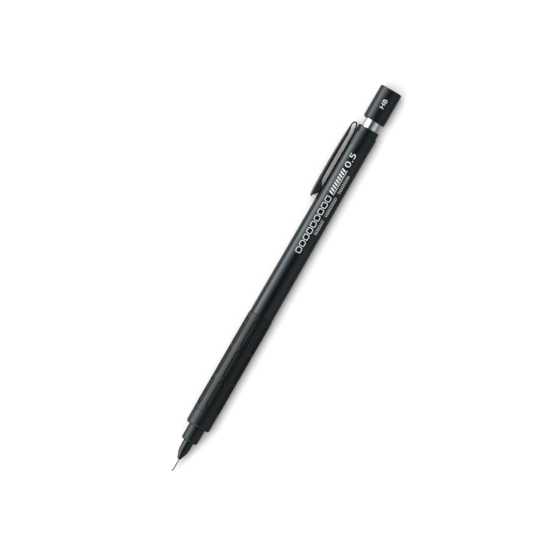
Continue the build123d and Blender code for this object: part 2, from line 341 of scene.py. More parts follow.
def joined(pieces, name):
    """Join pieces into one."""
    pick(pieces[0])
    for piece in pieces:
        piece.select_set(True)
    if len(pieces) > 1:
        bpy.ops.object.join()
    pieces[0].name = pieces[0].data.name = name
    return pieces[0]


def tube_outline(x0, x1, bore, outer):
    return [(x0, bore), (x0, outer), (x1, outer), (x1, bore)]


def thread_outline(x0, x1, root, crest, pitch=0.5):
    """Crests and roots of a fine thread, as a zigzag outline."""
    points = []
    for turn in range(int((x1 - x0) / pitch)):
        start = x0 + turn * pitch
        points += [
            (start + pitch * 0.15, root),
            (start + pitch * 0.45, crest),
            (start + pitch * 0.6, crest),
            (start + pitch * 0.9, root),
        ]
    return points


def curve(corners, steps):
    """Points along one Bezier span, from four corners in millimetres."""
    start, lead_out, lead_in, end = (Vector((*corner, 0)) for corner in corners)
    return [(p.x, p.y) for p in interpolate_bezier(start, lead_out, lead_in, end, steps)]


def arc(x, radius, centre_x, centre_r, steps=5):
    """A quarter round about a centre, from its outer side to its far end, for domed rims."""
    return [
        (
            centre_x + (x - centre_x) * math.sin(k * math.pi / 2 / steps),
            centre_r + (radius - centre_r) * math.cos(k * math.pi / 2 / steps),
        )
        for k in range(steps + 1)
    ]


def wrap(piece, radius_at):
    """Roll a flat piece, drawn in x and y with its height in z, round the pencil's axis."""
    for vertex in piece.data.vertices:
        radius = radius_at(vertex.co.x)
        angle = vertex.co.y / radius
        reach = radius + vertex.co.z
        vertex.co = (vertex.co.x, reach * math.sin(angle), reach * math.cos(angle))
    piece.data.update()


def dress(piece, material, body, nodes=()):
    """Give a piece its material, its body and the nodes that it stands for."""
    piece.data.materials.clear()
    piece.data.materials.append(material)
    if body:
        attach(piece, body)
    if nodes:
        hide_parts(*nodes)
    return piece


# Shared shader groups ------------------------------------------------------------------------------


def add_node(tree, kind, values=(), **settings):
    """A shader node with its settings and the values of its sockets."""
    node = tree.nodes.new("ShaderNode" + kind)
    for setting, value in settings.items():
        setattr(node, setting, value)
    for socket, value in dict(values).items():
        node.inputs[socket].default_value = value
    return node


def connect(tree, *routes):
    """Link nodes. Each route is (from node, its output, to node, its input)."""
    for giver, output, taker, entry in routes:
        tree.links.new(giver.outputs[output], taker.inputs[entry])


def new_group(name, inputs, outputs):
    """A shader node group with named sockets: inputs are (name, type, default)."""
    group = bpy.data.node_groups.new(name, "ShaderNodeTree")
    for label, kind, default in inputs:
        socket = group.interface.new_socket(label, in_out="INPUT", socket_type=kind)
        if default is not None:
            socket.default_value = default
    for label, kind in outputs:
        group.interface.new_socket(label, in_out="OUTPUT", socket_type=kind)
    entry = group.nodes.new("NodeGroupInput")
    leave = group.nodes.new("NodeGroupOutput")
    return group, entry, leave


def grain_group():
    """Fine grain and slow unevenness on object coordinates."""
    if "Surface grain" in bpy.data.node_groups:
        return bpy.data.node_groups["Surface grain"]
    group, entry, leave = new_group(
        "Surface grain",
        [
            ("Vector", "NodeSocketVector", None),
            ("Fine Scale", "NodeSocketFloat", 6000.0),
            ("Slow Scale", "NodeSocketFloat", 160.0),
        ],
        [("Height", "NodeSocketFloat"), ("Tone", "NodeSocketFloat")],
    )
    fine = add_node(group, "TexNoise", {"Detail": 3.0, "Roughness": 0.6})
    slow = add_node(group, "TexNoise", {"Detail": 4.0, "Distortion": 0.6})
    connect(
        group,
        (entry, "Vector", fine, "Vector"),
        (entry, "Vector", slow, "Vector"),
        (entry, "Fine Scale", fine, "Scale"),
        (entry, "Slow Scale", slow, "Scale"),
        (fine, "Fac", leave, "Height"),
        (slow, "Fac", leave, "Tone"),
    )
    return group


def wear_and_highlight_group():
    """Edge mask, for scuffed edges and for a painted edge highlight: how sharply the surface turns,
    broken up by noise.
    """
    if "Edge wear" in bpy.data.node_groups:
        return bpy.data.node_groups["Edge wear"]
    group, entry, leave = new_group(
        "Edge wear",
        [
            ("Vector", "NodeSocketVector", None),
            ("Radius", "NodeSocketFloat", 0.00012),
            ("Amount", "NodeSocketFloat", 0.5),
        ],
        [("Mask", "NodeSocketFloat")],
    )
    bevel = add_node(group, "Bevel", samples=4)
    geometry = add_node(group, "NewGeometry")
    align = add_node(group, "VectorMath", operation="DOT_PRODUCT")
    turnover = add_node(group, "MapRange", {"From Min": 0.985, "From Max": 0.9})
    patches = add_node(group, "TexNoise", {"Scale": 900.0, "Detail": 5.0})
    broken = add_node(group, "MapRange", {"From Min": 0.42, "From Max": 0.62})
    both = add_node(group, "Math", operation="MULTIPLY")
    scaled = add_node(group, "Math", operation="MULTIPLY")
    connect(
        group,
        (entry, "Radius", bevel, "Radius"),
        (bevel, "Normal", align, 0),
        (geometry, "Normal", align, 1),
        (align, "Value", turnover, "Value"),
        (entry, "Vector", patches, "Vector"),
        (patches, "Fac", broken, "Value"),
        (turnover, "Result", both, 0),
        (broken, "Result", both, 1),
        (both, "Value", scaled, 0),
        (entry, "Amount", scaled, 1),
        (scaled, "Value", leave, "Mask"),
    )
    return group


def turned_group():
    """Fine tool marks that run round a turned piece: noise that changes along the axis only."""
    if "Tool marks" in bpy.data.node_groups:
        return bpy.data.node_groups["Tool marks"]
    group, entry, leave = new_group(
        "Tool marks",
        [("Vector", "NodeSocketVector", None), ("Scale", "NodeSocketFloat", 9000.0)],
        [("Height", "NodeSocketFloat")],
    )
    squeeze = add_node(group, "VectorMath", {1: (1.0, 0.02, 0.02)}, operation="MULTIPLY")
    lines = add_node(group, "TexNoise", {"Detail": 4.0})
    connect(
        group,
        (entry, "Vector", squeeze, 0),
        (squeeze, "Vector", lines, "Vector"),
        (entry, "Scale", lines, "Scale"),
        (lines, "Fac", leave, "Height"),
    )
    return group


def surface(
    name,
    colour,
    wear_and_highlight_colour,
    roughness,
    spread=0.05,
    fine_scale=6000.0,
    bump=0.15,
    wear_and_highlight=0.4,
    marks=0.0,
    tone=0.15,
    metallic=0.0,
    coat=0.0,
    tint=None,
    specular=0.5,
    subsurface=0.0,
):
    """A finish with grain, slow changes of tone and gloss, an edge colour that is partly scuffing and
    partly painted edge highlight and, if asked, tool marks.
    """
    if name in bpy.data.materials:
        return bpy.data.materials[name]
    material = bpy.data.materials.new(name)
    material.use_nodes = True
    tree = material.node_tree
    shader = tree.nodes["Principled BSDF"]
    shader.inputs["Metallic"].default_value = metallic
    shader.inputs["Coat Weight"].default_value = coat
    shader.inputs["Coat Roughness"].default_value = 0.08
    shader.inputs["Specular IOR Level"].default_value = specular
    if tint:
        shader.inputs["Specular Tint"].default_value = (*tint, 1.0)
    if subsurface:
        shader.inputs["Subsurface Weight"].default_value = subsurface
        shader.inputs["Subsurface Scale"].default_value = 0.0005
    dark = tuple(part * (1 - tone) for part in colour)
    light = tuple(min(1.0, part * (1 + tone)) for part in colour)
    smooth, rough = max(0.02, roughness - spread), roughness + spread
    place = add_node(tree, "TexCoord")
    grain = add_node(tree, "Group", node_tree=grain_group())
    grain.inputs["Fine Scale"].default_value = fine_scale
    wear_and_highlight_mask = add_node(tree, "Group", node_tree=wear_and_highlight_group())
    wear_and_highlight_mask.inputs["Amount"].default_value = wear_and_highlight
    shade = add_node(tree, "Mix", data_type="RGBA")
    shade.inputs["A"].default_value = (*dark, 1.0)
    shade.inputs["B"].default_value = (*light, 1.0)
    # Edge colour mixed in by the edge mask: where it is lighter than the base it is a painted edge
    # highlight as well as scuffing.
    with_wear_and_highlight = add_node(tree, "Mix", data_type="RGBA")
    with_wear_and_highlight.inputs["B"].default_value = (*wear_and_highlight_colour, 1.0)
    gloss = add_node(
        tree, "MapRange", {"From Min": 0.3, "From Max": 0.7, "To Min": smooth, "To Max": rough}
    )
    relief = add_node(tree, "Bump", {"Strength": bump, "Distance": 0.00002})
    connect(
        tree,
        (place, "Object", grain, "Vector"),
        (place, "Object", wear_and_highlight_mask, "Vector"),
        (grain, "Tone", shade, "Factor"),
        (wear_and_highlight_mask, "Mask", with_wear_and_highlight, "Factor"),
        (shade, "Result", with_wear_and_highlight, "A"),
        (with_wear_and_highlight, "Result", shader, "Base Color"),
        (grain, "Tone", gloss, "Value"),
        (gloss, "Result", shader, "Roughness"),
        (relief, "Normal", shader, "Normal"),
    )
    if marks:
        lines = add_node(tree, "Group", node_tree=turned_group())
        both = add_node(tree, "Mix", {"Factor": marks})
        connect(
            tree,
            (place, "Object", lines, "Vector"),
            (grain, "Height", both, "A"),
            (lines, "Height", both, "B"),
            (both, "Result", relief, "Height"),
        )
    else:
        connect(tree, (grain, "Height", relief, "Height"))
    return material


# Finishes ---------------------------------------------------------------------------------------


# The third colour of each finish is its edge colour. Where it is lighter than the base, it is painted
# edge highlight as well as scuffing.
def satin_black():
    """Blasted and anodised metal of the neck and the front collar."""
    return surface(
        "Satin black",
        finishes().black,
        (0.05, 0.052, 0.055),
        0.36,
        fine_scale=9000.0,
        bump=0.25,
        wear_and_highlight=0.3,
        tint=finishes().gloss_tint,
        specular=0.42,
    )


def sleeve_black():
    """The grip sleeve's finish, a little duller and more neutral."""
    return surface(
        "Sleeve black",
        finishes().black,
        (0.05, 0.052, 0.055),
        0.4,
        fine_scale=9000.0,
        bump=0.3,
        wear_and_highlight=0.3,
        tint=(0.9, 0.97, 1.0),
        specular=0.36,
    )


def barrel_black():
    """Smoother lacquer of the barrel."""
    return surface(
        "Barrel lacquer",
        finishes().black,
        (0.04, 0.042, 0.045),
        0.21,
        spread=0.03,
        fine_scale=5000.0,
        bump=0.1,
        wear_and_highlight=0.2,
        tint=finishes().gloss_tint,
        specular=0.46,
    )


def moulded_black():
    """Moulded push cap, tail collar and inner core."""
    return surface(
        "Moulded black",
        finishes().black,
        (0.03, 0.032, 0.034),
        0.32,
        fine_scale=7000.0,
        bump=0.2,
        wear_and_highlight=0.25,
        tint=finishes().gloss_tint,
        specular=0.42,
    )


def cone_black():
    """Glossier black of the tip cone, with fine tool marks under the lacquer."""
    return surface(
        "Cone black",
        finishes().black,
        (0.2, 0.19, 0.18),
        0.24,
        spread=0.04,
        bump=0.1,
        wear_and_highlight=0.4,
        marks=0.6,
        tint=(0.92, 0.97, 1.0),
        specular=0.42,
    )


def pad_rubber():
    """Soft black rubber with a fine open grain."""
    return surface(
        "Grip rubber",
        (0.0036, 0.0042, 0.0046),
        (0.012, 0.012, 0.012),
        0.5,
        spread=0.07,
        fine_scale=4200.0,
        bump=0.45,
        wear_and_highlight=0.2,
        tone=0.3,
        specular=0.2,
    )


def bush_rubber():
    return surface(
        "Bush rubber", (0.25, 0.24, 0.22), (0.3, 0.29, 0.27), 0.7, bump=0.4, tone=0.2
    )


def chrome_plate():
    """Bright plating with the faintest haze."""
    return surface(
        "Chrome plate",
        (0.72, 0.77, 0.79),
        (0.9, 0.9, 0.9),
        0.1,
        spread=0.03,
        bump=0.02,
        wear_and_highlight=0.2,
        marks=0.3,
        tone=0.04,
        metallic=1.0,
    )


def ground_steel():
    """Steel tube with grinding lines round it."""
    return surface(
        "Ground steel",
        (0.5, 0.5, 0.495),
        (0.8, 0.8, 0.8),
        0.26,
        bump=0.15,
        marks=0.8,
        tone=0.08,
        metallic=1.0,
    )


def drawn_wire():
    return surface(
        "Drawn wire",
        (0.6, 0.6, 0.6),
        (0.7, 0.7, 0.7),
        0.3,
        bump=0.1,
        tone=0.12,
        metallic=1.0,
    )


def clip_black():
    """Dark plated spring steel, a little shinier than the grip, its edges lightened partly as scuffing
    and partly as a painted highlight.
    """
    return surface(
        "Clip plating",
        (0.0055, 0.0056, 0.0056),
        (0.16, 0.16, 0.158),
        0.34,
        spread=0.06,
        fine_scale=8000.0,
        bump=0.22,
        wear_and_highlight=0.4,
        tone=0.25,
        tint=(0.97, 0.98, 1.0),
        specular=0.6,
    )


def turned_brass():
    return surface(
        "Turned brass",
        finishes().brass,
        (0.85, 0.66, 0.36),
        0.24,
        bump=0.2,
        marks=0.85,
        tone=0.1,
        metallic=1.0,
    )


def milky_plastic():
    return surface(
        "Milky plastic",
        (0.72, 0.73, 0.72),
        (0.8, 0.8, 0.8),
        0.38,
        bump=0.1,
        tone=0.04,
        subsurface=0.3,
    )


def grey_plastic():
    return surface(
        "Grey plastic", (0.2, 0.205, 0.21), (0.3, 0.3, 0.3), 0.42, bump=0.2, tone=0.08
    )


def eraser_white():
    """Chalky white eraser, slightly soiled."""
    return surface(
        "Eraser",
        (0.8, 0.8, 0.78),
        (0.6, 0.6, 0.6),
        0.75,
        fine_scale=3000.0,
        bump=0.5,
        tone=0.08,
        wear_and_highlight=0.7,
        subsurface=0.15,
    )


def graphite():
    return surface(
        "Graphite",
        (0.07, 0.07, 0.075),
        (0.16, 0.16, 0.17),
        0.36,
        fine_scale=12000.0,
        bump=0.3,
        tone=0.25,
        specular=0.8,
    )


def print_ink():
    """Pad-printed ink: a little uneven, slightly scuffed at the edges of each stroke."""
    return surface(
        "Print ink",
        finishes().ink,
        (0.3, 0.31, 0.32),
        0.55,
        fine_scale=14000.0,
        bump=0.2,
        wear_and_highlight=0.3,
        tone=0.12,
    )


# Pieces -------------------------------------------------------------------------------------------


class PENCIL_OT_nose(bpy.types.Operator):
    """Lead, guide pipe, cone, neck and the bush inside"""

    bl_idname = "pencil.nose"
    bl_label = "Nose"

    def execute(self, context):
        lead = turned(
            "lead_stick",
            [
                (LEAD_TIP_X, 0),
                (LEAD_TIP_X, 0.1),
                (LEAD_TIP_X + 0.05, 0.19),
                (LEAD_TIP_X + 0.2, LEAD_R),
                (LEAD_REAR_X, LEAD_R),
                (LEAD_REAR_X, 0),
            ],
            edge=0.02 * MM,
            count=32,
        )
        dress(lead, graphite(), "lead_in_use", ["lead"])

        pipe = turned(
            "pipe_tube",
            [
                (PIPE_X, PIPE_BORE_R),
                (PIPE_X, PIPE_R),
                (PIPE_REAR_X - PIPE_FLANGE_LENGTH, PIPE_R),
                (PIPE_REAR_X - PIPE_FLANGE_LENGTH, PIPE_FLANGE_R),
                (PIPE_REAR_X, PIPE_FLANGE_R),
                (PIPE_REAR_X, PIPE_BORE_R),
            ],
            edge=0.03 * MM,
            count=48,
        )
        dress(pipe, ground_steel(), "nose", ["guide_pipe"])

        shoulder_x = NECK_X - 2.7
        ogive = curve(
            [
                (CONE_X + 0.12, 0.65),
                (CONE_X + 1.2, 1.03),
                (CONE_X + 2.95, 1.8),
                (shoulder_x, CONE_R - 0.03),
            ],
            18,
        )
        cone = turned(
            "cone_shell",
            [(CONE_X, 0.47), (CONE_X, 0.58)]
            + ogive
            + [
                (NECK_X, CONE_R),
                (NECK_X, 1.55),
                (CONE_REAR_X, 1.55),
                (CONE_REAR_X, 0.96),
                (PIPE_REAR_X, 0.96),
                (PIPE_REAR_X, 0.47),
            ],
            edge=0.04 * MM,
        )
        dress(cone, cone_black(), "nose", ["tip_cone"])

        neck = turned(
            "neck_shell",
            [
                (NECK_X, 1.56),
                (NECK_X, NECK_R - 0.45),
                (NECK_X + 0.45, NECK_R),
                (COLLAR_X, NECK_R),
                (COLLAR_X, 2.28),
                (COLLAR_X + 0.9, 2.28),
            ]
            + thread_outline(COLLAR_X + 0.9, NECK_REAR_X - 0.2, 2.28, 2.4)
            + [
                (NECK_REAR_X, 2.22),
                (NECK_REAR_X, 1.95),
                (COLLAR_X - 0.2, 1.95),
                (COLLAR_X - 0.2, 1.56),
            ],
            edge=0.05 * MM,
        )
        dress(neck, satin_black(), "nose", ["nose_neck"])

        bush_x, bush_rear_x, bush_r = span("lead_retainer")
        bush = turned(
            "bush_ring",
            [
                (bush_x, BUSH_BORE_R),
                (bush_x, bush_r - 0.15),
                (bush_x + 0.15, bush_r),
                (bush_rear_x - 0.5, bush_r),
                (bush_rear_x - 0.4, bush_r - 0.12),
                (bush_rear_x - 0.2, bush_r - 0.12),
                (bush_rear_x - 0.1, bush_r),
                (bush_rear_x, bush_r),
                (bush_rear_x, BUSH_BORE_R),
            ],
            edge=0.02 * MM,
            count=64,
        )
        dress(bush, bush_rubber(), "nose", ["lead_retainer"])
        return {"FINISHED"}


def slot_loop(length, width, end_steps=12, side_steps=8):
    """Outline of a rounded slot, centred, as (x, y): one side, the far end, back, the near end."""
    straight, radius = (length - width) / 2, width / 2
    loop = []
    for way in (1, -1):
        for k in range(side_steps):
            loop.append((way * (-straight + 2 * straight * k / side_steps), way * radius))
        for k in range(end_steps):
            turn = math.pi * k / end_steps
            loop.append(
                (
                    way * (straight + radius * math.sin(turn)),
                    way * radius * math.cos(turn),
                )
            )
    return loop


def cell_loop(length, width, pitch, breadth, end_steps=12, side_steps=8):
    """Outline of the rectangle round a slot, with a point for each point of slot_loop."""
    straight = (length - width) / 2
    corner_steps = end_steps // 4
    across_steps = end_steps - 2 * corner_steps
    loop = []
    for way in (1, -1):
        for k in range(side_steps):
            loop.append((way * (-straight + 2 * straight * k / side_steps), way * breadth / 2))
        for k in range(corner_steps):
            x = straight + (pitch / 2 - straight) * k / corner_steps
            loop.append((way * x, way * breadth / 2))
        for k in range(across_steps):
            loop.append((way * pitch / 2, way * breadth * (0.5 - k / across_steps)))
        for k in range(corner_steps):
            x = pitch / 2 - (pitch / 2 - straight) * k / corner_steps
            loop.append((way * x, -way * breadth / 2))
    return loop


def between(loop_a, loop_b, share, height=0.0):
    """Points part of the way from one flat loop to another, raised by height."""
    return [
        Vector((a[0] + (b[0] - a[0]) * share, a[1] + (b[1] - a[1]) * share, height))
        for a, b in zip(loop_a, loop_b)
    ]


GRIP_COLUMNS = 6
GRIP_ROWS = 3
ROW_X = (29.1, 40.9, 52.65)
ROW_PITCH = (ROW_X[2] - ROW_X[0]) / 2


class PENCIL_OT_grip(bpy.types.Operator):
    """Front collar, windowed sleeve and the rubber whose pads fill its windows"""

    bl_idname = "pencil.grip"
    bl_label = "Grip"

    def execute(self, context):
        collar = turned(
            "collar_ring",
            [
                (COLLAR_X, 2.46),
                (COLLAR_X, COLLAR_R - 0.55),
                (COLLAR_X + 0.55, COLLAR_R),
                (GRIP_X - 0.1, COLLAR_R),
                (GRIP_X, COLLAR_R - 0.12),
                (GRIP_X, 3.02),
                (COLLAR_X + 0.8, 3.02),
                (COLLAR_X + 0.8, 2.46),
            ],
        )
        dress(collar, satin_black(), "body", ["front_collar"])
        self.sleeve()
        self.rubber()
        core_x, core_rear_x, core_r = span("grip_core")
        shoulder_rear_x = CORE_SHOULDER_X + CORE_SHOULDER_LENGTH
        core = turned(
            "core_tube",
            [
                (core_x, CORE_FRONT_BORE_R),
                (core_x, CORE_R),
                (BARREL_X, CORE_R),
            ]
            + thread_outline(BARREL_X, core_rear_x - 0.2, CORE_THREAD_ROOT_R, core_r)
            + [
                (core_rear_x, CORE_THREAD_ROOT_R),
                (core_rear_x, CORE_BORE_R),
                (shoulder_rear_x, CORE_BORE_R),
                (shoulder_rear_x, CORE_SHOULDER_R),
                (CORE_SHOULDER_X, CORE_SHOULDER_R),
                (CORE_SHOULDER_X, CORE_FRONT_BORE_R),
            ],
            edge=0.04 * MM,
            count=96,
        )
        dress(core, moulded_black(), "body", ["grip_core"])
        return {"FINISHED"}

    def sleeve(self):
        length, width = sizes().window_length, sizes().window_width
        breadth = 2 * math.pi * GRIP_R * MM / GRIP_COLUMNS
        pitch = ROW_PITCH * MM
        slot = slot_loop(length, width)
        cell = cell_loop(length, width, pitch, breadth)
        loops = [between(cell, slot, share) for share in (0, 0.3, 0.6, 0.85, 1)]
        sleeve = skinned("sleeve_shell", loops, "open")
        pick(sleeve)
        for count, step in ((GRIP_ROWS, (pitch, 0, 0)), (GRIP_COLUMNS, (0, breadth, 0))):
            repeat = sleeve.modifiers.new("Repeat", "ARRAY")
            repeat.count = count
            repeat.use_relative_offset = False
            repeat.use_constant_offset = True
            repeat.constant_offset_displace = step
            repeat.use_merge_vertices = True
            repeat.merge_threshold = 1e-6
            bpy.ops.object.modifier_apply(modifier=repeat.name)
        sleeve.data.transform(Matrix.Translation((ROW_X[0] * MM, 0, 0)))
        first_edge = (ROW_X[0] - ROW_PITCH / 2) * MM
        last_edge = (ROW_X[2] + ROW_PITCH / 2) * MM
        for edge_x, end_x in ((first_edge, SLEEVE_X * MM), (last_edge, SLEEVE_REAR_X * MM)):
            self.extend(sleeve, edge_x, end_x - edge_x)
        wrap(sleeve, lambda x: GRIP_R * MM)
        bpy.ops.object.mode_set(mode="EDIT")
        bpy.ops.mesh.select_all(action="SELECT")
        bpy.ops.mesh.remove_doubles(threshold=2e-6)
        bpy.ops.mesh.normals_make_consistent(inside=False)
        bpy.ops.object.mode_set(mode="OBJECT")
        wall = sleeve.modifiers.new("Wall", "SOLIDIFY")
        wall.thickness = SLEEVE_WALL * MM
        wall.offset = -1
        bpy.ops.object.modifier_apply(modifier=wall.name)
        soften(sleeve, 0.09 * MM, segments=3, angle=50)
        dress(sleeve, sleeve_black(), "body", ["grip_sleeve"])

    def extend(self, sleeve, edge_x, reach):
        """Carry the sheet's edge at edge_x on to the end of the sleeve."""
        for vertex in sleeve.data.vertices:
            vertex.select = abs(vertex.co.x - edge_x) < 1e-6
        for edge in sleeve.data.edges:
            edge.select = all(sleeve.data.vertices[v].select for v in edge.vertices)
        for face in sleeve.data.polygons:
            face.select = False
        bpy.ops.object.mode_set(mode="EDIT")
        bpy.ops.mesh.select_mode(type="EDGE")
        bpy.ops.mesh.extrude_region_move(TRANSFORM_OT_translate={"value": (reach, 0, 0)})
        bpy.ops.mesh.select_mode(type="VERT")
        bpy.ops.object.mode_set(mode="OBJECT")

    def rubber(self):
        tube = turned(
            "rubber_tube",
            tube_outline(GRIP_X + 0.1, BARREL_X - 0.1, 3.02, 3.84),
            edge=0.05 * MM,
            count=120,
        )
        dress(tube, pad_rubber(), "body", ["grip_rubber"])
        gap = sizes().pad_gap
        length, width = sizes().window_length - 2 * gap, sizes().window_width - 2 * gap
        outline = slot_loop(length, width)
        straight = (length - width) / 2
        spine = [(max(-straight, min(straight, x)), 0) for x, y in outline]
        top = PAD_TOP_R * MM - GRIP_R * MM
        foot = PAD_FOOT_R * MM - GRIP_R * MM
        shelf = (
            (0.0, foot),
            (0.0, top - 0.14 * MM),
            (0.05, top - 0.05 * MM),
            (0.14, top),
            (0.45, top + 0.03 * MM),
            (0.75, top + 0.04 * MM),
            (1.0, top + 0.045 * MM),
        )
        loops = [between(outline, spine, share, height) for share, height in shelf]
        pad = skinned("pad_pattern", loops, "fill")
        pad.data.transform(Matrix.Translation((ROW_X[0] * MM, 0, 0)))
        wrap(pad, lambda x: GRIP_R * MM)
        soften(pad, 0.02 * MM, segments=2, angle=50)
        pads = [
            copied(pad, along(row_x - ROW_X[0]) @ round_axis(column, GRIP_COLUMNS))
            for row_x in ROW_X
            for column in range(GRIP_COLUMNS)
        ]
        bpy.data.objects.remove(pad)
        dress(joined(pads, "rubber_pads"), pad_rubber(), "body", ["grip_rubber"])


def barrel_radius(x):
    """Radius of the barrel at x, in millimetres."""
    share = min(1.0, max(0.0, (x - BARREL_X) / (TAPER_END_X - BARREL_X)))
    return BARREL_FRONT_R + (BARREL_R - BARREL_FRONT_R) * share


class PENCIL_OT_barrel(bpy.types.Operator):
    """Barrel with its slight taper, and the tail collar"""

    bl_idname = "pencil.barrel"
    bl_label = "Barrel"

    def execute(self, context):
        taper = [
            (x, barrel_radius(x)) for x in (BARREL_X + 0.12, 75.0, 90.0, 105.0, TAPER_END_X)
        ]
        barrel = turned(
            "barrel_shell",
            [(BARREL_X, 3.36), (BARREL_X, BARREL_FRONT_R - 0.12)]
            + taper
            + [
                (BAND_X - 0.01, BARREL_R),
                (BAND_X - 0.01, BARREL_SEAT_R),
                (BARREL_REAR_X, BARREL_SEAT_R),
                (BARREL_REAR_X, GUIDE_BORE_R),
                (GUIDE_X, GUIDE_BORE_R),
                (GUIDE_X - 0.4, BARREL_BORE_R),
                (66.1, BARREL_BORE_R),
                (66.1, 3.36),
            ],
        )
        dress(barrel, barrel_black(), "body", ["barrel"])
        tail = turned(
            "tail_ring",
            [
                (TAIL_X, 3.51),
                (TAIL_X, TAIL_R - 0.05),
                (TAIL_X + 0.05, TAIL_R),
                (TUBE_X - 0.15, TAIL_R),
                (TUBE_X, TAIL_R - 0.15),
                (TUBE_X, GUIDE_BORE_R),
                (TUBE_X - 0.49, GUIDE_BORE_R),
                (TUBE_X - 0.49, 3.51),
            ],
        )
        dress(tail, moulded_black(), "body", ["tail_collar"])
        return {"FINISHED"}


def printed(name, flat_pieces, radius_at, body):
    """Join flat ink shapes, cut them fine across, and roll them onto a surface."""
    ink = joined(flat_pieces, name)
    bpy.ops.object.transform_apply(location=True, rotation=True, scale=True)
    low = min(vertex.co.y for vertex in ink.data.vertices)
    high = max(vertex.co.y for vertex in ink.data.vertices)
    step = 0.25 * MM
    bpy.ops.object.mode_set(mode="EDIT")
    for cut in range(1, int((high - low) / step) + 1):
        bpy.ops.mesh.select_all(action="SELECT")
        bpy.ops.mesh.bisect(plane_co=(0, low + cut * step, 0), plane_no=(0, 1, 0))
    bpy.ops.object.mode_set(mode="OBJECT")
    wrap(ink, radius_at)
    dress(ink, print_ink(), body)


def lettering(text, size, stretch, x, y):
    """Flat figures or letters with their lower left corner at (x, y), in millimetres."""
    deselect()
    bpy.ops.object.text_add(location=(x * MM, y * MM, 0))
    words = bpy.context.object
    words.data.body = text
    words.data.size = size * MM
    words.data.extrude = sizes().print_height
    words.data.resolution_u = 5
    words.scale.x = stretch
    bpy.ops.object.convert(target="MESH")
    return bpy.context.object


def stroke(x0, x1, y0, y1, line=0.0, slant=0.0):
    """A flat bar of ink between two corners, in millimetres; a line width leaves it hollow."""
    deselect()
    bpy.ops.mesh.primitive_plane_add(size=MM)
    bar = bpy.context.object
    bpy.ops.object.mode_set(mode="EDIT")
    bpy.ops.mesh.select_all(action="SELECT")
    bpy.ops.transform.resize(value=(x1 - x0, y1 - y0, 1))
    bpy.ops.mesh.bevel(offset=min(x1 - x0, y1 - y0) * 0.28 * MM, segments=4, affect="VERTICES")
    if line:
        bpy.ops.mesh.inset(thickness=line * MM)
        bpy.ops.mesh.delete(type="FACE")
    bpy.ops.mesh.select_all(action="SELECT")
    rise = {"value": (0, 0, sizes().print_height)}
    bpy.ops.mesh.extrude_region_move(TRANSFORM_OT_translate=rise)
    bpy.ops.mesh.select_all(action="SELECT")
    bpy.ops.mesh.normals_make_consistent(inside=False)
    bpy.ops.object.mode_set(mode="OBJECT")
    lean = Matrix.Identity(4)
    lean[0][1] = slant
    bar.data.transform(Matrix.Translation(Vector((x0 + x1, y0 + y1, 0)) * MM / 2) @ lean)
    return bar


def row(piece, count, pitch):
    """The piece and its copies, each one pitch further along the pencil."""
    return [piece] + [copied(piece, along(number * pitch)) for number in range(1, count)]


class PENCIL_OT_print(bpy.types.Operator):
    """Plain printed marks: lead size, rows of open boxes, hatching and ticks, and the grade"""

    bl_idname = "pencil.print"
    bl_label = "Print"

    def execute(self, context):
        def barrel_at(x):
            return barrel_radius(x / MM) * MM

        figures = lettering("0.5", 2.95, 1.55, 118.3, -0.8)
        printed("size_figures", [figures], barrel_at, "body")
        boxes = row(stroke(85.0, 87.1, -0.78, 1.22, line=0.26), 9, 2.48)
        printed("open_boxes", boxes, barrel_at, "body")
        hatching = row(stroke(108.1, 108.7, -0.32, 1.22, slant=0.35), 9, 1.08)
        hatching.append(stroke(107.8, 117.5, -0.8, -0.58))
        printed("hatched_bar", hatching, barrel_at, "body")
        ticks = []
        for start, count in ((93.3, 9), (100.3, 12), (109.4, 11)):
            ticks += row(stroke(start, start + 0.15, -2.6, -1.5), count, 0.64)
            ticks += row(stroke(start + 0.12, start + 0.52, -2.6, -2.48), count - 1, 0.64)
        printed("fine_ticks", ticks, barrel_at, "body")
        grade = lettering("HB", 2.2, 1.25, 141.45, -0.75)
        printed("grade_letters", [grade], lambda x: CAP_R * MM, "cap")
        return {"FINISHED"}


SHEET = 0.45
FLANGE = 0.4
NOSE_X = CLIP_TIP_X + 0.5
NOSE_TOP_Y = 6.22
NOSE_FOOT_Y = 5.5


def clip_path():
    """The clip sheet's outer face, seen from the side, as (x, y) points from root to tip."""
    spans = (
        ([(130.6, 3.85), (131.2, 3.85), (131.8, 3.86), (132.3, 3.98)], 5),
        ([(132.3, 3.98), (133.1, 4.15), (133.48, 4.55), (133.48, 5.05)], 12),
        ([(133.48, 5.05), (133.48, 5.7), (132.95, 6.1), (132.0, 6.18)], 14),
        ([(132.0, 6.18), (129.5, 6.4), (123.0, 6.66), (116.5, 6.66)], 30),
        ([(116.5, 6.66), (112.5, 6.66), (109.0, 6.62), (106.6, 6.52)], 40),
        ([(106.6, 6.52), (105.6, 6.48), (104.9, 6.38), (NOSE_X, NOSE_TOP_Y)], 16),
        (
            [
                (NOSE_X, NOSE_TOP_Y),
                (CLIP_TIP_X + 0.15, 6.1),
                (CLIP_TIP_X, 5.9),
                (CLIP_TIP_X + 0.08, NOSE_FOOT_Y),
            ],
            10,
        ),
    )
    path = []
    for corners, steps in spans:
        path += curve(corners, steps)[:-1]
    return path + [(CLIP_TIP_X + 0.08, NOSE_FOOT_Y)]


FLANGE_DEPTHS = (
    (NOSE_X, 1.05),
    (104.8, 1.35),
    (105.2, 1.75),
    (105.6, 2.1),
    (106.0, 2.32),
    (106.4, 2.42),
    (106.9, 2.46),
    (108.3, 2.48),
    (108.8, 2.38),
    (109.3, 2.08),
    (109.8, 1.78),
    (110.3, 1.58),
    (110.8, 1.48),
    (111.4, 1.43),
    (120.0, 1.41),
    (128.5, 1.2),
    (130.0, 1.02),
    (131.0, 0.74),
    (131.7, 0.54),
    (132.2, 0.48),
    (140.0, 0.47),
)


